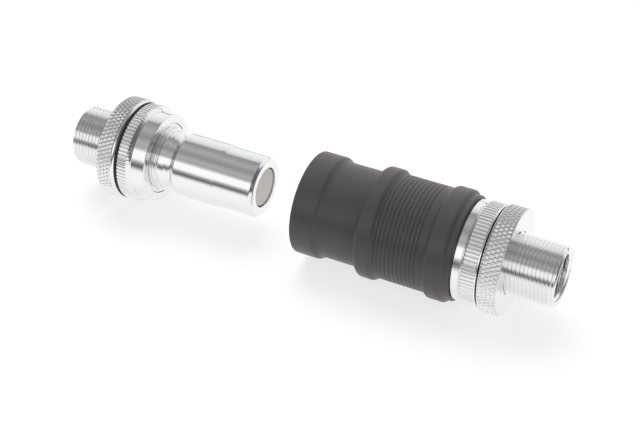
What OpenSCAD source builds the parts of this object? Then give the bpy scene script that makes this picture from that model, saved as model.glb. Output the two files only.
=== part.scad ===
// Liquid cooling quick coupling in two halves: a plug with a long nipple, and a socket whose sleeve
// drives six locking balls. Both halves shut themselves with a spring valve when they part.
// Both lie along X on one axis, apart, the socket on the +X side. Millimetres, +Z up.
// The origin is under the middle of the pair, on the surface that the sleeve's rear bead rests on.

/* [Pair] */
// Gap between the plug's face and the socket's mouth
gap = 13.6; // [6:0.1:40]
// How far the joined plug pushes the socket's valve back
valve_push = 4.75; // [4:0.05:5]
// Play left between the two valves when the halves are joined
valve_play = 0.25; // [0.15:0.05:0.4]

/* [Fits] */
// Radial clearance of a piece that slides or turns on another
run_clear = 0.06; // [0.03:0.01:0.1]
// Radial clearance between the nipple and the socket's bore
bore_clear = 0.1; // [0.06:0.01:0.15]
// Clearance round a rubber seal
seal_clear = 0.02; // [0.01:0.01:0.05]

/* [Pipe threads] */
// Radius of the outside thread on each tail
thread_r = 8; // [7.6:0.1:8.4]
// Pitch of the outside thread, which is cut here as rings without its climb
thread_pitch = 1; // [0.75:0.25:1.5]
// Depth of the outside thread
thread_depth = 0.6; // [0.4:0.05:0.65]
// Chamfer at the ends of the outside thread
thread_chamfer = 0.7; // [0.3:0.1:1.2]
// Radius of the drilled hole for the inside thread
port_r = 5.72; // [5.2:0.02:6]
// Depth of the drilled hole for the inside thread
port_len = 10.5; // [8:0.5:11]
// Radius of the waterway between the port and the valves
water_r = 4.6; // [4:0.1:5]
// Length of the socket's thread behind its flange
socket_thread_len = 17.7; // [15:0.1:22]
// Length of the plug's thread behind its flange
plug_thread_len = 17.1; // [15:0.1:22]

/* [Lock nuts] */
// How far the lock nuts stand out past the socket's flange
nut_height = 0.4; // [0:0.05:0.8]
// Width of the lock nuts
nut_len = 5.1; // [4:0.1:6]
// Chamfer on the lock nuts' edges
nut_chamfer = 0.3; // [0.1:0.1:0.6]
// Thickness of the sealing gaskets
gasket_len = 0.5; // [0.3:0.05:0.9]
// How far the socket's gasket lies inside its flange
gasket_inset = 0.5; // [0.2:0.05:1]

/* [Flanges] */
// How far the socket's knurled flange stands out past the polished ring
socket_flange_height = 0.4; // [0.1:0.05:1]
// Width of the socket's knurled flange
socket_flange_len = 4.15; // [3.6:0.05:5]
// How far the plug's knurled flange stands out past its collar
plug_flange_height = 1.24; // [0.9:0.02:1.8]
// Width of the plug's knurled flange
plug_flange_len = 3.8; // [3.4:0.1:4.6]
// Number of flutes round each flange
flute_count = 80; // [60:1:100]
// Depth of the flutes
flute_depth = 0.3; // [0.15:0.05:0.4]
// Plain rim left beside the flutes
flange_rim = 0.4; // [0.2:0.05:0.7]
// Length of the bevel between the plug's collar and its flutes
bevel_len = 0.9; // [0.6:0.1:1.3]

/* [Plug nipple] */
// Radius of the nipple's larger cylinder, behind the step
nipple_r = 8.52; // [8.4:0.02:8.6]
// How far the tip cylinder, in front of the step, lies inside the larger one
tip_step = 0.3; // [0.2:0.02:0.5]
// Length of the tip in front of the step
tip_len = 10.9; // [9.5:0.1:12]
// Length of the chamfer at the step
step_len = 0.7; // [0.4:0.1:1]
// Radial height and length of the chamfer round the tip's face
tip_chamfer = 0.9; // [0.5:0.1:1.1]
// Distance from the face to the locking groove
groove_u = 23.1; // [22:0.1:24]
// Depth of the nipple's waist, which is the locking groove
groove_depth = 1.22; // [1.15:0.01:1.4]
// Length of the waist's floor
waist_len = 1.2; // [1.1:0.05:1.4]
// Length of the slope from the waist's floor to the bead behind it
root_slope_len = 1; // [0.8:0.1:1.3]
// Height of the bead behind the waist
root_bead_height = 0.7; // [0.5:0.05:0.8]
// Length of the bead behind the waist
root_bead_len = 1.4; // [1:0.1:1.8]
// Number of rings cut in the nipple's root
root_ring_count = 3; // [2:1:4]
// Pitch of the rings in the nipple's root
root_ring_pitch = 0.55; // [0.4:0.05:0.65]
// Thickness of the nipple's wall at the waist
nipple_wall = 0.9; // [0.8:0.05:1.1]
// Width of the seat between the chamber and the flow bore
seat_width = 1.15; // [0.9:0.05:1.4]
// Length of the flow bore in the tip
tip_bore_len = 2.1; // [1.6:0.1:2.6]
// Thickness of the nipple's spigot in the collar
nipple_spigot_wall = 2; // [1.9:0.05:2.4]
// Length of the nipple's spigot
nipple_spigot_len = 3.6; // [3.2:0.1:4]

/* [Plug collar] */
// Distance from the nipple's face to the collar's face
collar_u = 29.6; // [29:0.1:30.4]
// Thickness of the collar round its recess
collar_wall = 2.26; // [1.9:0.02:2.4]
// Length of the collar
collar_len = 4; // [3.6:0.1:4.6]
// Width of the recess in the collar's face, round the nipple's spigot
recess_width = 1.2; // [1.1:0.05:1.5]
// Depth of the recess in the collar's face
recess_len = 3.2; // [2.6:0.1:3.4]

/* [Poppet] */
// How deep the poppet's face lies inside the nipple's face
poppet_recess = 0.4; // [0.2:0.05:0.6]
// Radius of the poppet's stem
poppet_stem_r = 1.8; // [1.5:0.1:2]
// Distance from the nipple's face to the poppet's guide
guide_u = 19; // [18:0.1:20]
// Thickness of the poppet's guide
guide_len = 2; // [1.6:0.1:2.6]

/* [Sleeve outside] */
// Thickness of the sleeve's front collar
mouth_wall = 1; // [0.9:0.05:1.4]
// Length of the sleeve's front collar
sleeve_collar_len = 6.1; // [5.5:0.1:7]
// Length of the slope from the collar to the neck
sleeve_slope_len = 2; // [1.5:0.1:2.6]
// Thickness of the sleeve's neck
neck_wall = 1.7; // [1.6:0.05:2.1]
// Length of the sleeve's neck
neck_len = 9.2; // [8:0.1:11]
// Height of the two beads over the grip
bead_height = 0.9; // [0.6:0.05:1.3]
// Width of the front bead
front_bead_len = 5; // [4.5:0.1:5.5]
// Thickness of the sleeve under the grip's ridges
grip_wall = 1.04; // [0.99:0.05:1.44]
// Number of grooves round the grip
grip_count = 11; // [8:1:12]
// Pitch of the grip's grooves
grip_pitch = 1.08; // [0.95:0.01:1.15]
// Depth of the grip's grooves
grip_depth = 0.3; // [0.15:0.05:0.35]
// Length of the plain land behind the grooves
land_len = 1.6; // [1:0.1:2.4]
// Width of the rear bead
rear_bead_len = 5.4; // [4.8:0.1:6]
// Length of the lip behind the rear bead
lip_len = 1.4; // [1:0.1:2]

/* [Ball lock] */
// Radius of a locking ball
ball_r = 1.5; // [1.4:0.02:1.55]
// Distance from the sleeve's front to the balls
ball_s = 5.3; // [5:0.1:5.6]
// Clearance between a locked ball and the flank of the groove
lock_play = 0.1; // [0.05:0.05:0.2]
// How far a ball moves in as the sleeve goes forward
ball_travel = 1.12; // [0.9:0.02:1.2]
// How far the sleeve goes forward
sleeve_travel = 3.2; // [3.2:0.05:3.3]
// Thickness of the cage that holds the balls
cage_wall = 2.1; // [1.98:0.02:2.18]
// Distance from the drawn sleeve's locking edge to the balls
lock_edge = 2.5; // [2.5:0.05:2.8]
// How far the ring that stops the sleeve stands out past the cage
ring_height = 1.48; // [1.28:0.05:1.58]
// Depth of that ring's groove in the cage
ring_groove = 0.72; // [0.5:0.02:0.9]
// Thickness of the ring that stops the sleeve
ring_len = 1.2; // [0.9:0.1:1.2]
// Length of the sleeve's land, which locks the balls, up to its spring
lock_land_len = 10.7; // [9.5:0.1:12]
// Room between the cage and the body's guiding part, for the sleeve's spring
spring_room = 1.68; // [1.6:0.02:1.9]
// Wire thickness of the sleeve's spring
sleeve_wire = 1.2; // [1:0.05:1.3]

/* [Socket body] */
// How far the polished ring stands out past the body's guiding part
stop_ring_height = 0.4; // [0.2:0.05:0.7]
// Width of the polished ring behind the sleeve
stop_ring_len = 2.35; // [2:0.05:3]
// Gap between the drawn sleeve and the polished ring
stop_gap = 0.2; // [0.1:0.05:0.4]
// Length of the part of the body that guides the sleeve
guide_land_len = 4.8; // [4.4:0.1:5.2]
// Thickness of the tail's spigot in the body
spigot_wall = 2; // [1.8:0.05:2.2]
// Length of the tail's spigot in the body
spigot_len = 5.6; // [5.2:0.1:6]

/* [Socket valve] */
// How far the valve stem's head lies inside the plug's flow bore
stem_gap = 0.25; // [0.2:0.05:0.4]
// Length of the valve stem's head
stem_head_len = 3; // [2.8:0.1:3.2]
// Radius of the valve stem's shank
stem_r = 2.5; // [2.2:0.1:2.8]
// Length of the valve sleeve
valve_len = 12; // [11:0.1:12.4]
// Length of the valve sleeve's lip that closes on the stem's head
valve_lip_len = 1.5; // [1.2:0.1:1.8]
// Thickness of the valve sleeve behind its lip
valve_wall = 1.32; // [1.1:0.02:1.5]
// Gap between the valve sleeve and the chamber
chamber_gap = 0.38; // [0.28:0.02:0.58]
// Depth of the holder's seat inside the tail
holder_depth = 2.9; // [2.6:0.1:3.4]
// Thickness of the disc that holds the stem
holder_len = 1.6; // [1.4:0.1:1.8]
// Wire thickness of the valve springs
valve_wire = 0.8; // [0.7:0.05:0.9]

/* [Hidden] */
round_fn = 96;
edge = 0.3;
ball_count = 6;

// Colours
chrome = [0.82, 0.83, 0.85];
anodised = [0.27, 0.26, 0.28];
steel = [0.7, 0.71, 0.73];
rubber = [0.07, 0.07, 0.08];
ivory = [0.88, 0.84, 0.76];

// Clearances and small sizes inside
ready_clear = 0.05;
ball_lip = 0.07;
ring_play = 0.2;
bore_seal_r = 0.75;
bore_seal_groove = 1.9;
bore_seal_depth = 2.1;
bore_seal_land = 3.4;
stem_seal_r = 0.5;
stem_seal_groove = 1.5;
stem_seal_depth = 1.6;
stem_pin_r = 1.8;
stem_pin_out = 0.9;
poppet_seal_r = 0.65;
poppet_seal_groove = 1.3;
poppet_head_len = 1;
poppet_out = 1.7;
poppet_spring_gap = 1.4;
flow_web = 0.6;
flow_hole_r = 1.3;
holder_hole_r = 1.7;
holder_seat = 1.4;
tail_seal_groove = 1.5;
nipple_seal_groove = 1.3;
root_step = 0.02;
root_groove = 0.4;
base_gap = 0.1;
base_inset = 0.2;
front_gap = 0.22;
seal_inset = 0.5;

// The plug's radii, from the nipple out and in
tip_r = nipple_r - tip_step;
waist_r = nipple_r - groove_depth;
root_bead_r = waist_r + root_bead_height;
root_r = nipple_r - root_step;
chamber_r = waist_r - nipple_wall;
tip_bore_r = chamber_r - seat_width;
nipple_spigot_r = chamber_r + nipple_spigot_wall;
recess_r = nipple_spigot_r + recess_width;
base_r = recess_r - base_gap;
collar_r = recess_r + collar_wall;
plug_flange_r = collar_r + plug_flange_height;
plug_gasket_r = plug_flange_r;

// The socket's radii, from the nipple out
body_bore_r = nipple_r + bore_clear;
tip_seat_r = tip_r + bore_clear;
cage_r = body_bore_r + cage_wall;
ring_r = cage_r + ring_height;
guide_r = cage_r + spring_room;
stop_ring_r = guide_r + stop_ring_height;
socket_flange_r = stop_ring_r + socket_flange_height;
socket_gasket_r = socket_flange_r - gasket_inset;
nut_r = socket_flange_r + nut_height;
ball_ready_r = nipple_r + ball_r + ready_clear;
ball_locked_r = ball_ready_r - ball_travel;
land_r = cage_r + run_clear + seal_clear;
relief_r = ball_ready_r + ball_r + 0.13;
sleeve_mouth_r = ring_r + ring_play;
sleeve_bore_r = guide_r + run_clear;
sleeve_r = sleeve_mouth_r + mouth_wall;
neck_r = land_r + neck_wall;
grip_r = sleeve_bore_r + grip_wall;
bead_r = grip_r + bead_height;
valve_r = tip_r;
valve_bore_r = valve_r - valve_wall;
valve_chamber_r = valve_r + chamber_gap;
spigot_r = valve_chamber_r + spigot_wall;
stem_head_r = tip_bore_r - stem_gap;

// Places on the sleeve, from its front
neck_s = sleeve_collar_len + sleeve_slope_len;
front_bead_s = neck_s + neck_len;
grip_s = front_bead_s + front_bead_len;
rear_bead_s = grip_s + grip_count * grip_pitch + land_len;
lip_s = rear_bead_s + rear_bead_len;
sleeve_len = lip_s + lip_len;

// The ball lock
ball_hole_r = ball_r + run_clear;
ring_end_s = ball_s - ball_hole_r - 0.9;
lock_edge_s = ball_s + lock_edge;
shoulder_s = ring_end_s + sleeve_travel + 0.05;
spring_start_s = lock_edge_s + lock_land_len;

// Where the joined plug's face and locking groove stand in the socket
ball_u = groove_u + (ball_r + lock_play) * sqrt(2) - (ball_locked_r - nipple_r);
mate_s = ball_s + ball_u;
stem_face_s = mate_s - valve_push;
body_start_s = mate_s - collar_u + front_gap;
valve_travel = valve_push + valve_play;
poppet_travel = valve_push - poppet_recess + valve_play;

// The socket's body and tail
seat_s = mate_s - tip_len;
bore_seal_s = stem_face_s + bore_seal_depth;
ring_s = sleeve_len + stop_gap;
body_end_s = ring_s + stop_ring_len;
guide_land_s = ring_s - guide_land_len;
spigot_s = body_end_s - spigot_len;
chamber_s = bore_seal_s + bore_seal_groove + bore_seal_land;
flange_end_s = body_end_s + socket_flange_len;
socket_len = flange_end_s + socket_thread_len;
holder_end_s = flange_end_s - holder_depth;
holder_s = holder_end_s - holder_len;
stem_seal_s = stem_face_s + stem_seal_depth;
body_seal_s = spigot_s + 1.75;
socket_gasket_s = flange_end_s;
socket_nut_s = socket_gasket_s + gasket_len;

// The plug, from its face
collar_end_u = collar_u + collar_len;
flange_end_u = collar_end_u + plug_flange_len;
recess_u = collar_u + recess_len;
plug_len = flange_end_u + plug_thread_len;
nipple_end_u = recess_u + nipple_spigot_len;
waist_u = groove_u + nipple_r - waist_r;
waist_end_u = waist_u + waist_len;
root_bead_u = waist_end_u + root_slope_len;
root_u = root_bead_u + root_bead_len;
base_u = collar_u + base_inset;
seat_cone_u = tip_bore_len + chamber_r - tip_bore_r;
poppet_seal_u = tip_bore_len + 0.85;
poppet_head_u = poppet_seal_u + poppet_seal_groove / 2 + poppet_head_len + 0.7;
nipple_seal_u = recess_u + 1.15;

// Places in the world
socket_x = (plug_len + gap - socket_len) / 2;
plug_x = socket_x - gap;
axis_z = bead_r;

// Points on an arc about [r, x]; the angles run from the radial direction towards +X
function arc(r, x, radius, from, to, steps = 6) =
    [for (i = [0:steps]) let (a = from + (to - from) * i / steps)
        [r + radius * cos(a), x + radius * sin(a)]];

// A rounded bead from x to x + len that stands on radius low_r and high_r at its two ends
function bead(low_r, high_r, x, len, fillet = 1.1) =
    let (flat = 0.28 * len)
    concat([[low_r, x]],
        arc(bead_r - fillet, x + flat, fillet, -62, 0, 5),
        arc(bead_r - fillet, x + len - flat, fillet, 0, 62, 5),
        [[high_r, x + len]]);

// A solid turned about the axis from points [radius, distance along the axis]
module turned(points) rotate([0, 90, 0]) rotate_extrude($fn = round_fn) polygon(points);

// A plain ring or tube between two distances along the axis
module tube(outer_r, inner_r, from, to) difference() {
    translate([from, 0, 0]) rotate([0, 90, 0]) cylinder(h = to - from, r = outer_r, $fn = round_fn);
    translate([from - 1, 0, 0]) rotate([0, 90, 0])
        cylinder(h = to - from + 2, r = inner_r, $fn = round_fn);
}

// A rubber ring of round section
module seal(middle_r, section_r, x)
    translate([x, 0, 0]) rotate([0, 90, 0]) rotate_extrude($fn = round_fn)
        translate([middle_r, 0]) circle(r = section_r, $fn = 32);

// A coil spring with closed ends, swept as one closed skin
module coil(middle_r, wire_r, from, to, turns, steps = 18, sides = 6) {
    count = turns * steps;
    function lead(t) = t < 1 ? t * 2 * wire_r
        : t > turns - 1 ? (to - from - 2 * wire_r) - (turns - t) * 2 * wire_r
        : 2 * wire_r + (t - 1) / (turns - 2) * (to - from - 6 * wire_r);
    points = [for (i = [0:count]) let (a = 360 * i / steps, x = from + wire_r + lead(i / steps))
        for (k = [0:sides - 1]) let (b = 360 * k / sides, r = middle_r + wire_r * cos(b))
            [x + wire_r * sin(b), r * cos(a), r * sin(a)]];
    walls = [for (i = [0:count - 1], k = [0:sides - 1]) let (n = (k + 1) % sides)
        [i * sides + k, i * sides + n, (i + 1) * sides + n, (i + 1) * sides + k]];
    first = [for (k = [sides - 1:-1:0]) k];
    last = [for (k = [0:sides - 1]) count * sides + k];
    polyhedron(points, concat([first, last], walls));
}

// A flange with straight flutes between two lower plain rims, from x to x + len, and a bevel from low_r
module fluted_flange(r, x, len, front = flange_rim, low_r = 0) {
    rim_r = r - flute_depth - 0.1;
    start_r = low_r > 0 ? low_r : rim_r;
    translate([x + front, 0, 0]) rotate([0, 90, 0]) linear_extrude(len - front - flange_rim)
        polygon([for (i = [0:2 * flute_count - 1]) let (a = 180 * i / flute_count,
            f = r - (i % 2) * flute_depth) [f * cos(a), f * sin(a)]]);
    turned([[0, x], [start_r, x], [rim_r, x + front - 0.1], [rim_r, x + len], [0, x + len]]);
}

// Places for pieces of the socket, with x from the sleeve's front, and of the plug, from its face
module at_socket() translate([socket_x, 0, axis_z]) children();
module at_plug() translate([plug_x, 0, axis_z]) mirror([1, 0, 0]) children();

// Knurled lock nut on a tail's thread, from x on
module lock_nut(x)
    difference() {
        turned([[0, x], [nut_r - nut_chamfer, x], [nut_r, x + nut_chamfer],
            [nut_r, x + nut_len - nut_chamfer], [nut_r - nut_chamfer, x + nut_len], [0, x + nut_len]]);
        turned([[0, x - 1], [thread_r + run_clear, x - 1], [thread_r + run_clear, x + nut_len + 1],
            [0, x + nut_len + 1]]);
    }

// Threaded tail behind a flange, from x to its end
module thread_tail(x, end)
    turned(concat([[0, x], [thread_r, x]],
        [for (i = [0:floor((end - thread_chamfer - x) / thread_pitch) - 1], p = [0:3])
            [thread_r - (p == 1 || p == 2 ? thread_depth : 0),
             x + (i + [0.06, 0.44, 0.56, 0.94][p]) * thread_pitch]],
        [[thread_r, end - thread_chamfer], [thread_r - thread_chamfer, end], [0, end]]));

// Waterway of a tail: the drilled port and the narrower way on to the valves
module port(from, end)
    turned([[0, from], [water_r, from], [water_r, end - port_len - 1], [port_r, end - port_len],
        [port_r, end - edge], [port_r + 2 * edge, end + edge], [0, end + edge]]);

module socket_body() color(chrome) at_socket()
    difference() {
        turned(
            [[body_bore_r + edge, body_start_s], [cage_r - edge, body_start_s],
             [cage_r, body_start_s + edge],
             [cage_r, ring_end_s - ring_len], [ring_root_r(), ring_end_s - ring_len],
             [ring_root_r(), ring_end_s], [cage_r, ring_end_s], [cage_r, guide_land_s],
             [guide_r - edge, guide_land_s], [guide_r, guide_land_s + edge], [guide_r, ring_s],
             [stop_ring_r - edge, ring_s], [stop_ring_r, ring_s + edge],
             [stop_ring_r, body_end_s - edge], [stop_ring_r - edge, body_end_s],
             [spigot_r, body_end_s], [spigot_r, spigot_s], [valve_chamber_r, spigot_s],
             [valve_chamber_r, chamber_s + 0.3], [tip_seat_r, chamber_s],
             [tip_seat_r, bore_seal_s + bore_seal_groove / 2],
             [seal_root_r(), bore_seal_s + bore_seal_groove / 2],
             [seal_root_r(), bore_seal_s - bore_seal_groove / 2],
             [tip_seat_r, bore_seal_s - bore_seal_groove / 2],
             [tip_seat_r, seat_s + step_len / 2], [body_bore_r, seat_s - step_len / 2],
             [body_bore_r, body_start_s + edge]]);
        for (i = [0:ball_count - 1]) rotate([360 * i / ball_count, 0, 0]) translate([ball_s, 0, 0])
            rotate_extrude($fn = 48) polygon([[0, 0], [ball_hole_r - ball_lip, 0],
                [ball_hole_r - ball_lip, body_bore_r + 0.05], [ball_hole_r, body_bore_r + 0.4],
                [ball_hole_r, cage_r + 1], [0, cage_r + 1]]);
    }

// Root radius of the groove for the seal in the socket's bore, and of the stop ring's groove
function seal_root_r() = tip_r + 2 * bore_seal_r + 2 * seal_clear;
function ring_root_r() = cage_r - ring_groove;

module socket_tail() color(chrome) at_socket()
    difference() {
        union() {
            turned([[0, spigot_s], [spigot_r - edge, spigot_s], [spigot_r, spigot_s + edge],
                [spigot_r, body_end_s], [0, body_end_s]]);
            fluted_flange(socket_flange_r, body_end_s, socket_flange_len);
            thread_tail(flange_end_s, socket_len);
        }
        turned([[0, spigot_s - 1], [valve_chamber_r, spigot_s - 1], [valve_chamber_r, holder_end_s],
            [valve_chamber_r - holder_seat, holder_end_s], [water_r, holder_end_s + 2],
            [0, holder_end_s + 2]]);
        port(holder_end_s, socket_len);
        tube(spigot_r + 1, spigot_r - 1.2, body_seal_s - tail_seal_groove / 2,
            body_seal_s + tail_seal_groove / 2);
    }

module socket_sleeve() color(anodised) at_socket()
    turned(concat(
        arc(sleeve_r - 2 * edge, 2 * edge, 2 * edge, -90, 0, 4),
        arc(sleeve_r - 3 * edge, sleeve_collar_len - 2 * edge, 3 * edge, 0, 50, 4),
        [[neck_r + 0.25, neck_s - 0.9], [neck_r + 0.08, neck_s - 0.45], [neck_r, neck_s]],
        bead(neck_r, grip_r, front_bead_s, front_bead_len),
        [for (i = [0:grip_count - 1], p = [0:3]) let (x = grip_s + i * grip_pitch)
            [grip_r - (p == 1 || p == 2 ? grip_depth : 0), x + [0.3, 0.42, 0.66, 0.78][p] * grip_pitch]],
        bead(grip_r, grip_r, rear_bead_s, rear_bead_len),
        arc(grip_r - 2 * edge, sleeve_len - 2 * edge, 2 * edge, 0, 60, 4),
        [[sleeve_bore_r + edge, sleeve_len], [sleeve_bore_r, sleeve_len - edge],
         [sleeve_bore_r, spring_start_s], [land_r, spring_start_s], [land_r, lock_edge_s],
         [relief_r, lock_edge_s - relief_r + land_r], [relief_r, shoulder_s],
         [sleeve_mouth_r, shoulder_s], [sleeve_mouth_r, edge], [sleeve_mouth_r + edge, 0]]));

module sleeve_spring() color(steel) at_socket()
    coil((cage_r + sleeve_bore_r) / 2, sleeve_wire / 2, spring_start_s, guide_land_s, 6, 24);

module retaining_ring() color(steel) at_socket()
    difference() {
        tube(ring_r, ring_root_r(), ring_end_s - ring_len, ring_end_s);
        translate([ring_end_s - ring_len - 1, -ring_len, ring_root_r() - 1])
            cube([ring_len + 2, 2 * ring_len, ring_r - ring_root_r() + 2]);
    }

module locking_ball(i) color(steel) at_socket()
    rotate([360 * (i - 1) / ball_count, 0, 0]) translate([ball_s, 0, ball_ready_r])
        sphere(r = ball_r, $fn = 48);

module bore_seal() color(rubber) at_socket()
    seal(tip_r + seal_clear + bore_seal_r, bore_seal_r, bore_seal_s);

module valve_stem() color(chrome) at_socket()
    turned([[0, stem_face_s], [stem_head_r - edge, stem_face_s], [stem_head_r, stem_face_s + edge],
        [stem_head_r, stem_seal_s - stem_seal_groove / 2], [stem_groove_r(), stem_seal_s - stem_seal_groove / 2],
        [stem_groove_r(), stem_seal_s + stem_seal_groove / 2], [stem_head_r, stem_seal_s + stem_seal_groove / 2],
        [stem_head_r, stem_face_s + stem_head_len],
        [stem_r, stem_face_s + stem_head_len + stem_head_r - stem_r],
        [stem_r, holder_s], [stem_pin_r, holder_s], [stem_pin_r, holder_end_s + stem_pin_out - edge],
        [stem_pin_r - edge, holder_end_s + stem_pin_out], [0, holder_end_s + stem_pin_out]]);

// Root radius of the seal groove in the stem's head
function stem_groove_r() = stem_head_r - 2 * stem_seal_r;

module stem_seal() color(rubber) at_socket()
    seal(stem_groove_r() + stem_seal_r + 0.05 + seal_clear, stem_seal_r, stem_seal_s);

module valve_sleeve() color(steel) at_socket()
    turned([[stem_head_r + bore_clear, stem_face_s], [valve_r - edge, stem_face_s],
        [valve_r, stem_face_s + edge], [valve_r, stem_face_s + valve_len],
        [valve_bore_r, stem_face_s + valve_len],
        [valve_bore_r, stem_face_s + valve_lip_len + valve_bore_r - stem_head_r - bore_clear],
        [stem_head_r + bore_clear, stem_face_s + valve_lip_len]]);

module valve_spring() color(steel) at_socket()
    coil(valve_bore_r - valve_wire / 2 - 0.3, valve_wire / 2,
        stem_face_s + valve_lip_len + 1.6, holder_s, 8);

module stem_holder() color(steel) at_socket()
    difference() {
        tube(valve_chamber_r, stem_pin_r, holder_s, holder_end_s);
        for (i = [0:5]) rotate([60 * i, 0, 0])
            translate([holder_s - 1, 0, valve_chamber_r - 2 * holder_hole_r]) rotate([0, 90, 0])
                cylinder(h = holder_len + 2, r = holder_hole_r, $fn = 32);
    }

module body_seal() color(rubber) at_socket() seal(spigot_r - 0.62, 0.58, body_seal_s);

module socket_gasket() color(rubber) at_socket()
    tube(socket_gasket_r, thread_r + run_clear, socket_gasket_s, socket_nut_s);

module socket_lock_nut() color(chrome) at_socket() lock_nut(socket_nut_s);

module plug_nipple() color(chrome) at_plug()
    difference() {
        turned(concat([[0, 0], [tip_r - tip_chamfer, 0], [tip_r, tip_chamfer], [tip_r, tip_len],
            [nipple_r, tip_len + step_len], [nipple_r, groove_u], [waist_r, waist_u],
            [waist_r, waist_end_u], [root_bead_r, root_bead_u], [root_bead_r, root_u], [root_r, root_u + 0.1]],
            [for (i = [0:root_ring_count - 1], p = [0:2])
                [root_r - (p == 1 ? 0.15 : 0), root_u + 0.15 + (i + [0.25, 0.5, 0.75][p]) * root_ring_pitch]],
            [[root_r, base_u + root_groove], [root_r + root_groove, base_u + root_groove],
             [root_r + root_groove, base_u + 0.1], [root_r + root_groove + 0.1, base_u],
             [base_r - 0.1, base_u], [base_r, base_u + 0.1], [base_r, recess_u],
             [nipple_spigot_r, recess_u], [nipple_spigot_r, nipple_end_u], [0, nipple_end_u]]));
        turned([[0, -1], [tip_bore_r, -1], [tip_bore_r, tip_bore_len], [chamber_r, seat_cone_u],
            [chamber_r, nipple_end_u + 1], [0, nipple_end_u + 1]]);
        tube(nipple_spigot_r + 1, nipple_spigot_r - 1, nipple_seal_u - nipple_seal_groove / 2,
            nipple_seal_u + nipple_seal_groove / 2);
    }

module plug_tail() color(chrome) at_plug()
    difference() {
        union() {
            turned([[recess_r + edge, collar_u], [collar_r - 2 * edge, collar_u],
                [collar_r, collar_u + 2 * edge], [collar_r, collar_end_u - 0.2],
                [collar_r - 0.2, collar_end_u], [0, collar_end_u],
                [0, recess_u + 1], [0, recess_u], [recess_r, recess_u],
                [recess_r, collar_u + edge]]);
            fluted_flange(plug_flange_r, collar_end_u, plug_flange_len, bevel_len, collar_r + 0.14);
            thread_tail(flange_end_u, plug_len);
        }
        turned([[0, recess_u - 1], [nipple_spigot_r, recess_u - 1], [nipple_spigot_r, nipple_end_u],
            [0, nipple_end_u]]);
        port(nipple_end_u - 1, plug_len);
    }

module plug_poppet() color(ivory) at_plug()
    turned([[0, poppet_recess], [tip_bore_r - bore_clear - edge, poppet_recess],
        [tip_bore_r - bore_clear, poppet_recess + edge],
        [tip_bore_r - bore_clear, poppet_seal_u - poppet_seal_groove / 2],
        [poppet_groove_r(), poppet_seal_u - poppet_seal_groove / 2],
        [poppet_groove_r(), poppet_seal_u + poppet_seal_groove / 2],
        [tip_bore_r + 0.25, poppet_seal_u + poppet_seal_groove / 2],
        [tip_bore_r + 0.25, poppet_seal_u + poppet_seal_groove / 2 + poppet_head_len],
        [poppet_stem_r, poppet_head_u], [poppet_stem_r, guide_u + guide_len + poppet_out - edge],
        [poppet_stem_r - edge, guide_u + guide_len + poppet_out], [0, guide_u + guide_len + poppet_out]]);

// Root radius of the seal groove in the poppet
function poppet_groove_r() = tip_bore_r - bore_clear - seal_clear - poppet_seal_r;

module poppet_seal() color(rubber) at_plug()
    seal(poppet_groove_r() + poppet_seal_r + seal_clear, poppet_seal_r, poppet_seal_u);

module poppet_spring() color(steel) at_plug()
    coil(poppet_stem_r + valve_wire / 2 + poppet_spring_gap, valve_wire / 2, poppet_head_u, guide_u, 8);

module poppet_guide() color(steel) at_plug()
    difference() {
        tube(chamber_r, poppet_stem_r + run_clear, guide_u, guide_u + guide_len);
        for (i = [0:5]) rotate([60 * i, 0, 0])
            translate([guide_u - 1, 0, chamber_r - flow_web - flow_hole_r]) rotate([0, 90, 0])
                cylinder(h = guide_len + 2, r = flow_hole_r, $fn = 32);
    }

module plug_body_seal() color(rubber) at_plug()
    seal(nipple_spigot_r - seal_inset - seal_clear, seal_inset - seal_clear, nipple_seal_u);

module plug_gasket() color(rubber) at_plug()
    tube(plug_gasket_r, thread_r + run_clear, flange_end_u, flange_end_u + gasket_len);

module plug_lock_nut() color(chrome) at_plug() lock_nut(flange_end_u + gasket_len);

socket_body();
socket_tail();
socket_sleeve();
sleeve_spring();
retaining_ring();
locking_ball(1);  // locking_ball_1
locking_ball(2);  // locking_ball_2
locking_ball(3);  // locking_ball_3
locking_ball(4);  // locking_ball_4
locking_ball(5);  // locking_ball_5
locking_ball(6);  // locking_ball_6
bore_seal();
valve_stem();
stem_seal();
valve_sleeve();
valve_spring();
stem_holder();
body_seal();
socket_gasket();
socket_lock_nut();
plug_nipple();
plug_tail();
plug_poppet();
poppet_seal();
poppet_spring();
poppet_guide();
plug_body_seal();
plug_gasket();
plug_lock_nut();
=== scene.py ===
# %% [markdown]
# A liquid cooling quick coupling, its two halves lying apart on one axis: a plug with a long chromed
# nipple, and a socket with a dark grip sleeve. Nearly every piece of it is turned on a lathe, so the
# lesson does the same: draw half a section, turn it round the axis, and then cut threads, flutes and
# knurls into the turned skin with Geometry Nodes.

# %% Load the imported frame
import math

import bmesh
import bpy
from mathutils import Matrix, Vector


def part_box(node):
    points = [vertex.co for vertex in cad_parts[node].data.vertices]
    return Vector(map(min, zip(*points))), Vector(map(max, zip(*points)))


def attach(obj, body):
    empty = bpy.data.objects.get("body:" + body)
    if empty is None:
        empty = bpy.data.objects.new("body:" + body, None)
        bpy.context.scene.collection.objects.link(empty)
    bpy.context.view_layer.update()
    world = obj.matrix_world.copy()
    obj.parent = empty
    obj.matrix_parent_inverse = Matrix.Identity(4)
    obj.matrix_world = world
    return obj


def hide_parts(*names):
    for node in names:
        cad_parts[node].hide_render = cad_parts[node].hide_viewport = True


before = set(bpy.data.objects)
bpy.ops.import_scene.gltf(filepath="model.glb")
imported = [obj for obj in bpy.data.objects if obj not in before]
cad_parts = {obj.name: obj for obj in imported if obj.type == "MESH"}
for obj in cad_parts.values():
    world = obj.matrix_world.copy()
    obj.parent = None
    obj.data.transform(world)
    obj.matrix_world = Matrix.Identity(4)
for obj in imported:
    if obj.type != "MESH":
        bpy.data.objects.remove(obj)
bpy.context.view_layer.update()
scene = bpy.context.scene
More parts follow.
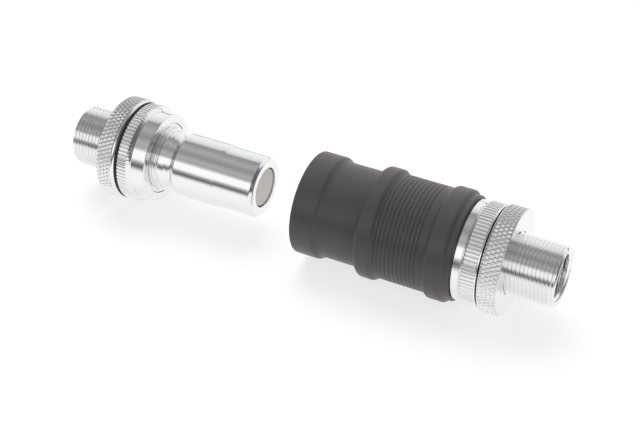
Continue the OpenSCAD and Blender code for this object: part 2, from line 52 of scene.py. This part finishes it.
MM = 0.001

# %% [markdown]
# All places come from the frame. The socket is measured from its sleeve's drawn-back front edge
# towards +X, and the plug from its face towards -X, so each half needs only a start and a direction.

# %% Where the two halves lie
sleeve_low, sleeve_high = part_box("socket_sleeve")
AXIS_Z = (sleeve_low.z + sleeve_high.z) / 2
SOCKET = (sleeve_low.x, 1)
PLUG = (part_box("plug_nipple")[1].x, -1)
print("axis height", round(AXIS_Z / MM, 2), "mm, socket from", round(SOCKET[0] / MM, 2),
      "mm, plug from", round(PLUG[0] / MM, 2), "mm")

# %% [markdown]
# A node tree is easier to read as arithmetic than as boxes and wires. `Term` wraps one socket, and
# its operators add Math nodes, so `1 - mask * 0.5` builds the nodes it looks like. The same class
# serves materials and Geometry Nodes, because both know the Math node.

# %% Sockets as arithmetic
class Term:
    """One output socket of a node tree; Python's operators on it add Math nodes."""

    def __init__(self, tree, socket):
        self.tree, self.socket = tree, socket

    def math(self, operation, *others, clamp=False):
        return maths(self.tree, operation, self, *others, clamp=clamp)

    def __add__(self, other):
        return self.math("ADD", other)

    __radd__ = __add__

    def __sub__(self, other):
        return self.math("SUBTRACT", other)

    def __rsub__(self, other):
        return maths(self.tree, "SUBTRACT", other, self)

    def __mul__(self, other):
        return self.math("MULTIPLY", other)

    __rmul__ = __mul__

    def __truediv__(self, other):
        return self.math("DIVIDE", other)

    def __neg__(self):
        return self.math("MULTIPLY", -1)

    def __abs__(self):
        return self.math("ABSOLUTE")

    def least(self, other):
        return self.math("MINIMUM", other)

    def most(self, other):
        return self.math("MAXIMUM", other)

    def part(self):
        return self.math("FRACT")

    def root(self):
        return self.math("SQRT")

    def clamped(self):
        return self.math("ADD", 0, clamp=True)


def connect(tree, slot, value):
    """Puts a Term or a plain value into a node's input."""
    if isinstance(value, Term):
        tree.links.new(value.socket, slot)
    else:
        slot.default_value = value


def maths(tree, operation, *values, clamp=False):
    """A Math node on plain values and Terms."""
    node = tree.nodes.new("ShaderNodeMath")
    node.operation, node.use_clamp = operation, clamp
    for slot, value in zip(node.inputs, values):
        connect(tree, slot, value)
    return Term(tree, node.outputs[0])


def add(tree, kind, settings=None, out=0, **inputs):
    """Any other node: its type and settings, then values for its inputs, by name or, as _0, by number."""
    node = tree.nodes.new(kind)
    for key, value in (settings or {}).items():
        if key == "stops":
            ramp = node.color_ramp
            while len(ramp.elements) < len(value):
                ramp.elements.new(0.5)
            for element, (place, grey) in zip(ramp.elements, value):
                element.position = place
                element.color = (grey, grey, grey, 1)
        else:
            setattr(node, key, value)
    for name, value in inputs.items():
        slot = node.inputs[int(name[1:])] if name[0] == "_" else node.inputs[name.replace("_", " ")]
        connect(tree, slot, value)
    return Term(tree, node.outputs[out])


def split(tree, vector):
    """A vector's x, y and z, as three Terms."""
    node = add(tree, "ShaderNodeSeparateXYZ", Vector=vector).socket.node
    return [Term(tree, output) for output in node.outputs]


print("Term adds Math nodes for + - * /, least, most, part, root and clamped")

# %% [markdown]
# The lathe. A section is a closed loop of points (distance, radius, ease) in millimetres, and ease is
# the size of the small rounding at that corner. Real turned edges are never quite sharp, and the
# rounding is what catches the light. A thin ring on each side of a rounding keeps the flats beside
# it flat when the skin is shaded smooth. A run of points from `rows` carries the mark 1 and is cut
# later by a Geometry Nodes tree.

# %% The lathe
EASE = 0.12        # the rounding of a corner that names none
EDGE_SHARE = 0.45  # the most of an edge that one rounding takes
LONG_EDGE = 2.4    # an edge this many times its rounding and ring is long enough for the ring


def rows(start, end, radius, step):
    """Points for a stretch that is cut later, closely spaced along the axis."""
    count = max(1, round(abs(end - start) / step))
    return [(start + (end - start) * i / count, radius, 0, 1) for i in range(count + 1)]


def eased(section, hold=0.07, turns=4):
    """The section with its corners rounded, as (distance, radius, mark). hold is the ring's width."""
    result = []
    for i, (s, r, *rest) in enumerate(section):
        ease = rest[0] if rest else EASE
        mark = rest[1] if len(rest) > 1 else 0
        before, after = section[i - 1], section[(i + 1) % len(section)]
        here = Vector((s, r))
        to_before, to_after = Vector(before[:2]) - here, Vector(after[:2]) - here
        if not ease or not to_before.length or not to_after.length:
            result.append((s, r, mark))
            continue
        ease = min(ease, EDGE_SHARE * to_before.length, EDGE_SHARE * to_after.length)
        first, last = here + to_before.normalized() * ease, here + to_after.normalized() * ease
        if to_before.length > LONG_EDGE * (ease + hold):
            result.append((*(first + to_before.normalized() * hold), mark))
        for k in range(turns + 1):
            t = k / turns
            result.append((*(first * (1 - t) ** 2 + here * 2 * t * (1 - t) + last * t * t), mark))
        if to_after.length > LONG_EDGE * (ease + hold):
            result.append((*(last + to_after.normalized() * hold), mark))
    return result


def turned(name, section, half, segments=192, material=None):
    """A closed solid turned round the coupling's axis from a section of one half."""
    start, way = half
    mesh = bpy.data.meshes.new(name)
    bm = bmesh.new()
    mark_layer = bm.verts.layers.float.new("cut")
    rings = []
    for s, r, mark in eased(section):
        x = start + way * s * MM
        if r < 1e-6:
            rings.append([bm.verts.new((x, 0, AXIS_Z))])
            continue
        ring = []
        for k in range(segments):
            a = 2 * math.pi * k / segments
            vert = bm.verts.new((x, r * MM * math.cos(a), AXIS_Z + r * MM * math.sin(a)))
            vert[mark_layer] = mark
            ring.append(vert)
        rings.append(ring)
    for one, two in zip(rings, rings[1:] + rings[:1]):
        if len(one) == 1 and len(two) == 1:
            continue
        for k in range(segments):
            n = (k + 1) % segments
            corners = [one[k % len(one)], one[n % len(one)], two[n % len(two)], two[k % len(two)]]
            corners = [c for j, c in enumerate(corners) if c not in corners[:j]]
            bm.faces.new(corners).smooth = True
    bmesh.ops.recalc_face_normals(bm, faces=bm.faces)
    bm.to_mesh(mesh)
    bm.free()
    thing = bpy.data.objects.new(name, mesh)
    scene.collection.objects.link(thing)
    if material:
        mesh.materials.append(material)
    return thing


print("lathe ready")

# %% [markdown]
# Threads, flutes and knurls repeat by a rule, so Geometry Nodes cut them. Each tree works out, for
# every point of the turned skin, its distance from the axis and its turn round it, asks a rule for
# the new distance, and moves the marked points there. The trees differ only in that rule.

# %% Geometry Nodes: a tree that recuts a turned skin
def cutting_tree(name, sizes, rule):
    """A tree with named inputs for its sizes; rule(x, turn, radius, size) gives the new radius."""
    tree = bpy.data.node_groups.new(name, "GeometryNodeTree")
    tree.is_modifier = True
    tree.interface.new_socket("Geometry", in_out="INPUT", socket_type="NodeSocketGeometry")
    for label, value in sizes.items():
        socket = tree.interface.new_socket(label, in_out="INPUT", socket_type="NodeSocketFloat")
        socket.default_value = value
    tree.interface.new_socket("Finish", in_out="INPUT", socket_type="NodeSocketMaterial")
    tree.interface.new_socket("Geometry", in_out="OUTPUT", socket_type="NodeSocketGeometry")
    given = tree.nodes.new("NodeGroupInput")
    size = {label: Term(tree, given.outputs[label]) for label in sizes}
    x, y, z = split(tree, add(tree, "GeometryNodeInputPosition"))
    height = z - size["Axis height"]
    radius = (y * y + height * height).root().most(1e-6)
    turn = maths(tree, "ARCTAN2", height, y) / (2 * math.pi)
    mark = add(tree, "GeometryNodeInputNamedAttribute", {"data_type": "FLOAT"}, Name="cut")
    grown = 1 + (rule(x, turn, radius, size) - radius) * mark / radius
    moved = add(tree, "ShaderNodeCombineXYZ", X=x, Y=y * grown, Z=size["Axis height"] + height * grown)
    skin = Term(tree, given.outputs["Geometry"])
    step = add(tree, "GeometryNodeSetPosition", Geometry=skin, Position=moved)
    step = add(tree, "GeometryNodeRealizeInstances", Geometry=step)
    step = add(tree, "GeometryNodeSetMaterial", Geometry=step, Material=Term(tree, given.outputs["Finish"]))
    tree.links.new(step.socket, tree.nodes.new("NodeGroupOutput").inputs["Geometry"])
    return tree


def cut(thing, tree, material, **sizes):
    """Runs a cutting tree on a turned piece and keeps the result as a plain mesh."""
    modifier = thing.modifiers.new(tree.name, "NODES")
    modifier.node_group = tree
    for item in tree.interface.items_tree:
        if item.in_out == "INPUT" and item.name in sizes:
            modifier[item.identifier] = sizes[item.name]
        if item.in_out == "INPUT" and item.name == "Finish":
            modifier[item.identifier] = material
    bpy.context.view_layer.update()
    plain = bpy.data.meshes.new_from_object(thing.evaluated_get(bpy.context.evaluated_depsgraph_get()))
    thing.modifiers.remove(modifier)
    thing.data = plain
    print(thing.name, "cut by", tree.name, "has", len(plain.polygons), "faces")


# %% [markdown]
# The rules. A thread is a V groove that climbs one pitch a turn; outside it cuts inwards from the
# crest, inside it cuts outwards from the core. Flutes are V grooves along the axis. A diamond knurl
# is two crossed families of grooves, and the lower of the two heights leaves the pyramids between.
# A wave that is steepened and then cut off at 0 and 1 leaves flats at the crest and the root.

# %% The four cutting rules
THREAD_STEEPNESS, FLUTE_STEEPNESS, KNURL_STEEPNESS = 1.35, 2.0, 1.5
CREST_FLAT, CORE_FLAT = 0.12, 0.2


def groove_wave(phase):
    """1 at whole numbers, falling straight to 0 half way between them."""
    return abs(phase.part() * 2 - 1)


def outside_thread(x, turn, radius, size):
    wave = groove_wave(x / size["Pitch"] - turn)
    depth = ((1 - wave) * THREAD_STEEPNESS - CREST_FLAT).clamped()
    return radius.least(size["Crest"] - size["Depth"] * depth)


def inside_thread(x, turn, radius, size):
    wave = groove_wave(x / size["Pitch"] - turn)
    depth = ((1 - wave) * THREAD_STEEPNESS - CORE_FLAT).clamped()
    return radius.most(size["Core"] + size["Depth"] * depth)


def straight_flutes(x, turn, radius, size):
    wave = groove_wave(turn * size["Count"])
    return radius.least(size["Crest"] - size["Depth"] * (1 - (wave * FLUTE_STEEPNESS).least(1)))


def diamond_knurl(x, turn, radius, size):
    one = groove_wave(turn * size["Count"] + x / size["Spacing"])
    other = groove_wave(turn * size["Count"] - x / size["Spacing"])
    height = (one.least(other) * KNURL_STEEPNESS).least(1)
    return radius.least(size["Crest"] - size["Depth"] * (1 - height))


THREAD_R, PORT_R, NUT_R = 8, 5.72, 13.6
SOCKET_FLANGE_R, PLUG_FLANGE_R = 13.2, 13.1
FLUTES, DIAMONDS = 80, 74
thread_tree = cutting_tree("outside thread", {"Axis height": AXIS_Z, "Crest": THREAD_R * MM, "Pitch": 1 * MM,
                                              "Depth": 0.6 * MM}, outside_thread)
port_tree = cutting_tree("inside thread", {"Axis height": AXIS_Z, "Core": PORT_R * MM, "Pitch": 1.337 * MM,
                                           "Depth": 0.8 * MM}, inside_thread)
flute_tree = cutting_tree("straight flutes", {"Axis height": AXIS_Z, "Crest": SOCKET_FLANGE_R * MM,
                                              "Count": FLUTES, "Depth": 0.32 * MM}, straight_flutes)
knurl_tree = cutting_tree("diamond knurl", {"Axis height": AXIS_Z, "Crest": NUT_R * MM, "Count": DIAMONDS,
                                            "Spacing": 2.14 * MM, "Depth": 0.42 * MM}, diamond_knurl)
print("four trees:", [t.name for t in (thread_tree, port_tree, flute_tree, knurl_tree)])

# %% [markdown]
# Finishes. The metal is nickel or chrome plate over turned brass: almost a mirror, with faint rings
# from the lathe round the axis. The rings are noise on Object coordinates that changes along the axis
# and outwards, but not round it.

# %% A material and its main shader
def finish(name, **sockets):
    material = bpy.data.materials.new(name)
    material.use_nodes = True
    tree = material.node_tree
    shader = next(n for n in tree.nodes if n.type == "BSDF_PRINCIPLED")
    for label, value in sockets.items():
        shader.inputs[label.replace("_", " ")].default_value = value
    return material, tree, shader


def object_place(tree):
    """Object coordinates, the fourth output of Texture Coordinate."""
    return add(tree, "ShaderNodeTexCoord", out=3)


def noise(tree, place, scale, detail=2.0, rough=0.5):
    return add(tree, "ShaderNodeTexNoise", Vector=place, Scale=scale, Detail=detail, Roughness=rough)


def lathe_rings(tree, place, fineness, detail, rough):
    """Noise that changes along the axis and outwards, but not round it."""
    x, y, z = split(tree, place)
    height = z - AXIS_Z
    radius = (y * y + height * height).root()
    section = add(tree, "ShaderNodeCombineXYZ", X=x * fineness, Y=radius * fineness, Z=0)
    return noise(tree, section, 1.0, detail, rough)


def tint(tree, factor, one, other):
    """A colour between two, by a factor from 0 to 1. Each is a Term, or red, green and blue."""
    colours = [colour if isinstance(colour, Term) else (*colour, 1) for colour in (one, other)]
    return add(tree, "ShaderNodeMix", {"data_type": "RGBA"}, out=2, _0=factor, _6=colours[0], _7=colours[1])


def bump(tree, height, depth, strength=1.0):
    return add(tree, "ShaderNodeBump", Height=height, Strength=strength, Distance=depth)


print("finish helpers ready")

# %% Plated metal, bright and turned
def plated(name, colour, smooth, rough, ring_depth):
    """Plated turned metal: lathe rings in the normal, faint wipe marks in the roughness."""
    material, tree, shader = finish(name, Metallic=1.0)
    place = object_place(tree)
    rings = lathe_rings(tree, place, 6000, 3.0, 0.6)
    wipes = noise(tree, place, 260.0, 4.0, 0.6)
    darker = tuple(c * 0.97 for c in colour)
    connect(tree, shader.inputs["Base Color"], tint(tree, wipes, darker, colour))
    connect(tree, shader.inputs["Roughness"], smooth + (rough - smooth) * ((wipes - 0.35) * 2.2).clamped())
    connect(tree, shader.inputs["Normal"], bump(tree, rings, ring_depth))
    return material


chrome = plated("polished_chrome", (0.88, 0.885, 0.89), 0.08, 0.13, 0.6e-6)
steel = plated("spring_steel", (0.62, 0.62, 0.63), 0.18, 0.3, 1.5e-6)
print("chrome and steel ready")

# %% [markdown]
# The grip sleeve is satin black, with the fine even grain of blasted and anodised metal. It reads as
# dark grey because the grain spreads a soft sheen from the room over it. The rubber is blacker and
# duller, and the poppet is warm ivory plastic.

# %% Satin sleeve, rubber and plastic
def satin_sleeve():
    material, tree, shader = finish("satin_anodised", IOR=1.5)
    place = object_place(tree)
    grain = noise(tree, place, 9000.0, 2.0, 0.6)
    cloud = noise(tree, place, 180.0, 3.0, 0.6)
    connect(tree, shader.inputs["Base Color"],
            tint(tree, cloud, (0.043, 0.039, 0.043), (0.055, 0.05, 0.055)))
    connect(tree, shader.inputs["Roughness"], 0.34 + cloud * 0.12)
    connect(tree, shader.inputs["Normal"], bump(tree, grain, 4e-6))
    return material


def soft_rubber():
    material, tree, shader = finish("black_rubber", IOR=1.5)
    grain = noise(tree, object_place(tree), 5000.0, 3.0, 0.6)
    connect(tree, shader.inputs["Base Color"],
            tint(tree, grain, (0.012, 0.012, 0.013), (0.022, 0.022, 0.023)))
    connect(tree, shader.inputs["Roughness"], 0.55 + grain * 0.2)
    connect(tree, shader.inputs["Normal"], bump(tree, grain, 6e-6))
    return material


def ivory_plastic():
    material, tree, shader = finish("ivory_plastic", IOR=1.5, Subsurface_Weight=0.08, Subsurface_Scale=0.001)
    place = object_place(tree)
    cloud = noise(tree, place, 420.0, 3.0, 0.6)
    rings = lathe_rings(tree, place, 4000, 2.0, 0.5)
    connect(tree, shader.inputs["Base Color"],
            tint(tree, cloud, (0.83, 0.785, 0.74), (0.89, 0.85, 0.805)))
    connect(tree, shader.inputs["Roughness"], 0.36 + cloud * 0.12)
    connect(tree, shader.inputs["Normal"], bump(tree, rings, 2e-6))
    return material


anodised, rubber, ivory = satin_sleeve(), soft_rubber(), ivory_plastic()
print("sleeve, rubber and plastic ready")

# %% [markdown]
# The grip sleeve is the biggest piece: a collar that slips over the plug, a neck, two proud beads and
# a run of ring grooves for the fingers between them. Inside it has the relief that lets the locking
# balls out and the land that holds them in.

# %% The grip sleeve
COLLAR_R, NECK_R, BEAD_R, RIDGE_R = 13.4, 12.5, 14.4, 13.5
SLEEVE_BORE, LAND_R, RELEASE_R = 12.46, 10.8, 11.7
SLEEVE_END = 42.58


def grip_grooves(start, count, pitch, ridge, depth):
    """The ring grooves between the beads, each with sloping sides and a flat floor."""
    points = []
    for i in range(count):
        x = start + i * pitch
        points += [(x + 0.29 * pitch, ridge, 0.07), (x + 0.42 * pitch, ridge - depth, 0.06),
                   (x + 0.66 * pitch, ridge - depth, 0.06), (x + 0.79 * pitch, ridge, 0.07)]
    return points


sleeve_section = (
    [(0, 12.72, 0.08), (0, COLLAR_R, 0.5), (6.15, COLLAR_R, 0.5), (6.95, 12.72, 0.35), (8.1, NECK_R, 0.4),
     (17.3, NECK_R, 0.2), (17.95, BEAD_R, 0.85), (21.65, BEAD_R, 0.85), (22.3, RIDGE_R, 0.2)]
    + grip_grooves(22.3, 11, 1.08, RIDGE_R, 0.2)
    + [(35.78, RIDGE_R, 0.2), (36.4, BEAD_R, 0.85), (40.56, BEAD_R, 0.85), (41.18, RIDGE_R, 0.2),
       (SLEEVE_END, RIDGE_R, 0.45), (SLEEVE_END, 12.6, 0.15), (42.4, SLEEVE_BORE, 0.1),
       (18.5, SLEEVE_BORE), (18.5, LAND_R), (7.8, LAND_R, 0.1), (6.9, RELEASE_R, 0.1),
       (6.09, RELEASE_R, 0.1), (6.09, 12.4, 0.1), (0.3, 12.4, 0.1)])
grip_sleeve = turned("grip_sleeve", sleeve_section, SOCKET, 256, anodised)
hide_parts("socket_sleeve")
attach(grip_sleeve, "sleeve")
print("grip sleeve:", len(grip_sleeve.data.polygons), "faces")

# %% [markdown]
# Each tail is turned in three pieces that meet inside its wall: the flange with its straight flutes,
# which needs many segments round, and the outside and the bore of the threaded tube, which need many
# rows along.

# %% The tails' flanges
SOCKET_TUBE, PLUG_TUBE = 49.28, 37.4  # where each flange ends and its threaded tube begins
TUBE_BORE = 4.6
RIM_STEP = 0.36
SEGMENTS_EACH = 8                     # segments round for each flute, and for each diamond of the knurl


def flange_rows(end, radius, front):
    """A fluted flange as points: a plain front, the flutes, and a lower plain rim behind them."""
    begin = front[-1][0]
    rim = radius - RIM_STEP
    return (front + [(begin + 0.06, radius, 0, 1)] + rows(begin + 0.12, end - 0.45, radius, 0.8)
            + [(end - 0.37, radius, 0, 1), (end - 0.35, rim, 0), (end, rim, 0.06)])


socket_flange = turned("socket_flange", [(39.53, 10.3), (39.83, 10.6), (45.13, 10.6, 0.05)]
                       + flange_rows(SOCKET_TUBE, SOCKET_FLANGE_R, [(45.13, 12.8, 0.08), (45.48, 12.86, 0)])
                       + [(SOCKET_TUBE, THREAD_R), (SOCKET_TUBE, TUBE_BORE), (48.38, TUBE_BORE),
                          (46.38, 7.2), (46.38, 8.6), (39.53, 8.6)], SOCKET, FLUTES * SEGMENTS_EACH)
cut(socket_flange, flute_tree, chrome, Crest=SOCKET_FLANGE_R * MM)
plug_flange = turned("plug_flange", [(29.6, 9.7, 0.1), (29.6, 11.86, 0.45), (33.5, 11.86, 0.05)]
                     + flange_rows(PLUG_TUBE, PLUG_FLANGE_R, [(33.6, 12.0, 0.05), (34.42, 12.76, 0)])
                     + [(PLUG_TUBE, THREAD_R), (PLUG_TUBE, TUBE_BORE), (36.4, TUBE_BORE), (36.4, 8.4),
                        (32.8, 8.4), (32.8, 9.6), (29.7, 9.6, 0.05)], PLUG, FLUTES * SEGMENTS_EACH)
cut(plug_flange, flute_tree, chrome, Crest=PLUG_FLANGE_R * MM)

# %% The threaded tubes
PORT_DEPTH = 10.5    # how far in from the end the inside thread's hole goes
WALL_R = 7           # the radius inside the wall at which the outside and the bore meet
CHAMFER = 0.7        # the thread runs out on the tube's end in ten small steps
CHAMFER_STEP = 0.07
TUBE_SEGMENTS = 144


def threaded_tube(name, half, start, end):
    """A tube with the outside thread, and the inside thread in its end, cut by two trees."""
    skin = turned(name + "_outside", [(start, WALL_R), (start, THREAD_R, 0)]
                  + rows(start + 0.01, end - CHAMFER, THREAD_R, 0.06)
                  + [(end - CHAMFER + CHAMFER_STEP * k, THREAD_R - CHAMFER_STEP * k, 0, 1)
                     for k in range(1, 11)]
                  + [(end, WALL_R, 0)], half, TUBE_SEGMENTS)
    cut(skin, thread_tree, chrome)
    port_end = end - PORT_DEPTH
    bore = turned(name + "_bore", [(end, WALL_R, 0), (end, 6.62, 0.03)]
                  + [(end - 0.06 * k, 6.6 - 0.09 * k, 0, 1) for k in range(1, 10)]
                  + rows(end - 0.55, port_end + 1, PORT_R, 0.085)
                  + [(port_end + 0.9, PORT_R, 0.1), (port_end, PORT_R, 0.1),
                     (port_end - 1, TUBE_BORE, 0.1), (start, TUBE_BORE, 0), (start, WALL_R, 0)],
                  half, TUBE_SEGMENTS)
    cut(bore, port_tree, chrome)
    return skin, bore


socket_thread = threaded_tube("socket_thread", SOCKET, SOCKET_TUBE, 66.98)
plug_thread = threaded_tube("plug_thread", PLUG, PLUG_TUBE, 54.5)
for pieces, node, body in (((socket_flange, *socket_thread), "socket_tail", "socket"),
                           ((plug_flange, *plug_thread), "plug_tail", "plug")):
    for piece in pieces:
        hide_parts(node)
        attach(piece, body)

# %% [markdown]
# The lock nuts are round, with a diamond knurl for the fingers. The knurl runs out at the small
# chamfers, because the cutting rule never lets a point stand farther out than the turned skin.

# %% The lock nuts
NUT_LENGTH, NUT_BORE = 5.1, 8.06


def lock_nut(name, half, start, knurl_start, body):
    """A nut whose knurl begins at knurl_start, behind a plain edge where there is room for one."""
    end = start + NUT_LENGTH
    plain_edge = [(knurl_start - 0.02, NUT_R, 0)] if knurl_start > start + 0.5 else []
    outside = ([(start, 13.15, 0.05), (start + 0.4, NUT_R, 0.35)] + plain_edge
               + rows(knurl_start, end - 0.25, NUT_R, 0.2675)
               + [(end - 0.12, 13.52, 0), (end, 13.4, 0.04)])
    bore = [(end, 8.14, 0.04), (end - 0.08, NUT_BORE, 0.03), (start + 0.08, NUT_BORE, 0.03),
            (start, 8.14, 0.04)]
    nut = turned(name, outside + bore, half, DIAMONDS * SEGMENTS_EACH)
    cut(nut, knurl_tree, chrome)
    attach(nut, body)
    return nut


socket_nut = lock_nut("socket_nut", SOCKET, 49.78, 50.2, "socket_nut")
plug_nut = lock_nut("plug_nut", PLUG, 37.9, 38.8, "plug_nut")
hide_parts("socket_lock_nut")
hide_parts("plug_lock_nut")

# %% [markdown]
# The nipple is the plug's smooth mirror of a cylinder, with one small step, and its waist is the
# groove that the balls drop into. Three fine grooves run round its root. The poppet closes its bore
# from inside.

# %% Nipple, poppet and gaskets
TIP_R, BARREL_R, WAIST_R, BASE_R, ROOT_R = 8.22, 8.52, 7.3, 8.0, 8.5
GASKET_BORE = 8.1
root_rings = [(28.07 + (i + share) * 0.55, ROOT_R - depth, 0.05)
              for i in range(3) for share, depth in ((0.22, 0), (0.5, 0.16), (0.78, 0))]
nipple = turned("nipple", [
    (0, 5.35, 0.1), (0, 7.32, 0.22), (0.9, TIP_R, 0.3), (10.9, TIP_R, 0.12), (11.6, BARREL_R, 0.15),
    (23.1, BARREL_R, 0.25), (24.32, WAIST_R, 0.45), (25.52, WAIST_R, 0.5), (26.52, BASE_R, 0.55),
    (27.92, BASE_R, 0.12), (28.02, ROOT_R, 0.08)] + root_rings + [
    (30.2, ROOT_R, 0.1), (30.2, 8.9, 0.1), (29.9, 8.9, 0.05), (29.8, 9.0, 0.05), (29.8, 9.4, 0.05),
    (29.9, 9.5, 0.05), (32.8, 9.5, 0.1),
    (32.8, 8.4), (33.3, 8.4), (33.3, 7.4), (34.6, 7.4), (34.6, 8.4), (36.4, 8.4), (36.4, 6.4),
    (3.25, 6.4), (2.1, 5.25)], PLUG, 256, chrome)
poppet = turned("poppet", [
    (0.4, 0, 0), (0.4, 5.15, 0.3), (2.3, 5.15), (2.3, 4.48), (3.6, 4.48), (3.6, 5.5), (4.6, 5.5),
    (5.3, 1.8), (22.4, 1.8), (22.7, 1.5), (22.7, 0, 0)], PLUG, 192, ivory)


def gasket_ring(name, half, start, end, radius):
    section = [(start, GASKET_BORE), (start, radius, 0.15), (end, radius, 0.15), (end, GASKET_BORE)]
    return turned(name, section, half, 192, rubber)


socket_ring = gasket_ring("socket_gasket_ring", SOCKET, 49.3, 49.77, 12.7)
plug_ring = gasket_ring("plug_gasket_ring", PLUG, 37.42, 37.88, 13.1)
for piece, node, body, slot in ((nipple, "plug_nipple", "plug", "chrome"),
                                (poppet, "plug_poppet", "poppet", "ivory"),
                                (socket_ring, "socket_gasket", "socket_gasket", "rubber"),
                                (plug_ring, "plug_gasket", "plug_gasket", "rubber")):
    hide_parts(node)
    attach(piece, body)
print("nipple, poppet and gaskets turned")

# %% [markdown]
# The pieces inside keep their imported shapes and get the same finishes.

# %% Finishes for the pieces that stay as they are
for name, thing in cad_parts.items():
    if "seal" in name or "gasket" in name:
        wanted = rubber
    elif name in ("socket_body", "valve_stem"):
        wanted = chrome
    else:
        wanted = steel
    for slot in thing.material_slots:
        slot.material = wanted
print("finishes set on", len(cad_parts), "nodes")

# %% [markdown]
# The floor is white paper. It mixes its own white with a plain diffuse, so the shadows on it stay
# soft and pale. In a reflection it is white near the coupling and darker towards the front and both
# ends, which gives the chrome the dark line that a cylinder needs to read as round.

# %% The floor
def ramp(tree, value, low, high, at_low, at_high, kind="LINEAR"):
    """at_low where the value is low, at_high where it is high, and held beyond both."""
    return add(tree, "ShaderNodeMapRange", {"clamp": True, "interpolation_type": kind},
               Value=value, _1=low, _2=high, _3=at_low, _4=at_high)


def paper():
    material = bpy.data.materials.new("white_paper")
    material.use_nodes = True
    tree = material.node_tree
    tree.nodes.clear()
    x, y = split(tree, object_place(tree))[:2]
    front = ramp(tree, y, -0.15, -0.06, 0.2, 1.0)
    sides = ramp(tree, abs(x), 0.11, 0.2, 1.0, 0.15)
    edge = front * sides
    rays = tree.nodes.new("ShaderNodeLightPath")
    seen = Term(tree, rays.outputs["Is Glossy Ray"])
    level = seen * edge + (1 - seen)
    white = add(tree, "ShaderNodeEmission", Color=(1, 1, 1, 1), Strength=level)
    dull = add(tree, "ShaderNodeBsdfDiffuse", Color=(0.88, 0.86, 0.865, 1))
    in_gloss, in_light = 0.85, 0.74
    share = seen * in_gloss + (1 - seen) * in_light
    both = add(tree, "ShaderNodeMixShader", _0=share, _1=dull, _2=white)
    tree.links.new(both.socket, tree.nodes.new("ShaderNodeOutputMaterial").inputs["Surface"])
    return material


FLOOR_REACH, FLOOR_Z = 3, -5e-5
corners = [(FLOOR_REACH * i, FLOOR_REACH * j, FLOOR_Z) for i, j in ((-1, -1), (1, -1), (1, 1), (-1, 1))]
floor_mesh = bpy.data.meshes.new("floor")
floor_mesh.from_pydata(corners, [], [(0, 1, 2, 3)])
floor = bpy.data.objects.new("floor", floor_mesh)
scene.collection.objects.link(floor)
floor_mesh.materials.append(paper())
print("floor laid")

# %% [markdown]
# Chrome shows the room, so the room is part of the finish. A mirror cylinder along X turns the room
# into stripes, so the world is painted in stripes by the angle round X: a dark gap at the table's
# edge, a bright soft box low in front, a grey ceiling, and a white wall behind. Both ends of the room
# are dark. The camera itself sees plain white, and what isn't a mirror is lit by an even grey.

# %% The room
def room():
    world = bpy.data.worlds.new("room")
    scene.world = world
    world.use_nodes = True
    tree = world.node_tree
    tree.nodes.clear()
    x, y, z = split(tree, add(tree, "ShaderNodeTexCoord", out=0))
    round_x = maths(tree, "ARCTAN2", z, -y) / math.pi
    stops = [(0.0, 0.2), (0.02, 0.22), (0.06, 0.6), (0.09, 1.1), (0.2, 1.12), (0.235, 0.6), (0.27, 0.4),
             (0.32, 0.47), (0.42, 0.3), (0.54, 0.45), (0.62, 0.35), (0.685, 0.32), (0.72, 0.7),
             (0.78, 0.86), (0.85, 0.96), (1.0, 1.02)]
    bands = add(tree, "ShaderNodeValToRGB", {"stops": stops}, Fac=round_x)
    ends = ramp(tree, abs(x), 0.68, 0.86, 0, 0.85, "SMOOTHSTEP")
    bands = tint(tree, ends, bands, (0.1, 0.1, 0.105))
    rays = tree.nodes.new("ShaderNodeLightPath")
    glossy = Term(tree, rays.outputs["Is Glossy Ray"])
    camera = Term(tree, rays.outputs["Is Camera Ray"])
    plain = tint(tree, glossy, (0.62, 0.61, 0.615), bands)
    shown = tint(tree, camera, plain, (1, 1, 1))
    sky = add(tree, "ShaderNodeBackground", Color=shown, Strength=1.0)
    tree.links.new(sky.socket, tree.nodes.new("ShaderNodeOutputWorld").inputs["Surface"])


room()
print("room painted")

# %% The lamps
def area_lamp(name, place, size, power, colour):
    """A square soft lamp aimed at the coupling's middle, which mirrors don't show."""
    middle = Vector((0, 0, 0.014))
    light = bpy.data.lights.new(name, "AREA")
    light.shape, light.size, light.energy, light.color = "SQUARE", size, power, colour
    lamp = bpy.data.objects.new(name, light)
    lamp.location = place
    lamp.rotation_euler = (middle - Vector(place)).to_track_quat("-Z", "Y").to_euler()
    lamp.visible_glossy = False
    scene.collection.objects.link(lamp)


area_lamp("high_soft_box", (-0.16, 0.22, 0.5), 0.5, 4.0, (1.0, 0.985, 0.97))
area_lamp("side_soft_box", (0.4, -0.14, 0.09), 0.12, 0.35, (1.0, 0.97, 0.96))
print("two soft lamps: one high behind on the left, one low on the right")

# %% [markdown]
# The camera looks down on the pair from the front and the socket's end.

# %% The camera
azimuth, elevation, distance = math.radians(26.25), math.radians(38.09), 0.3621
target = Vector((4.4 * MM, -3.5 * MM, 14.4 * MM))
towards = Vector((math.sin(azimuth) * math.cos(elevation), -math.cos(azimuth) * math.cos(elevation),
                  math.sin(elevation)))
camera_data = bpy.data.cameras.new("camera")
camera_data.lens, camera_data.sensor_width = 80.66, 36
camera_data.clip_start = 0.01
camera = bpy.data.objects.new("camera", camera_data)
camera.location = target + towards * distance
camera.rotation_euler = (-towards).to_track_quat("-Z", "Y").to_euler()
scene.collection.objects.link(camera)
scene.camera = camera
scene.view_settings.view_transform = "Standard"
print("camera at", [round(v / MM, 1) for v in camera.location], "mm")
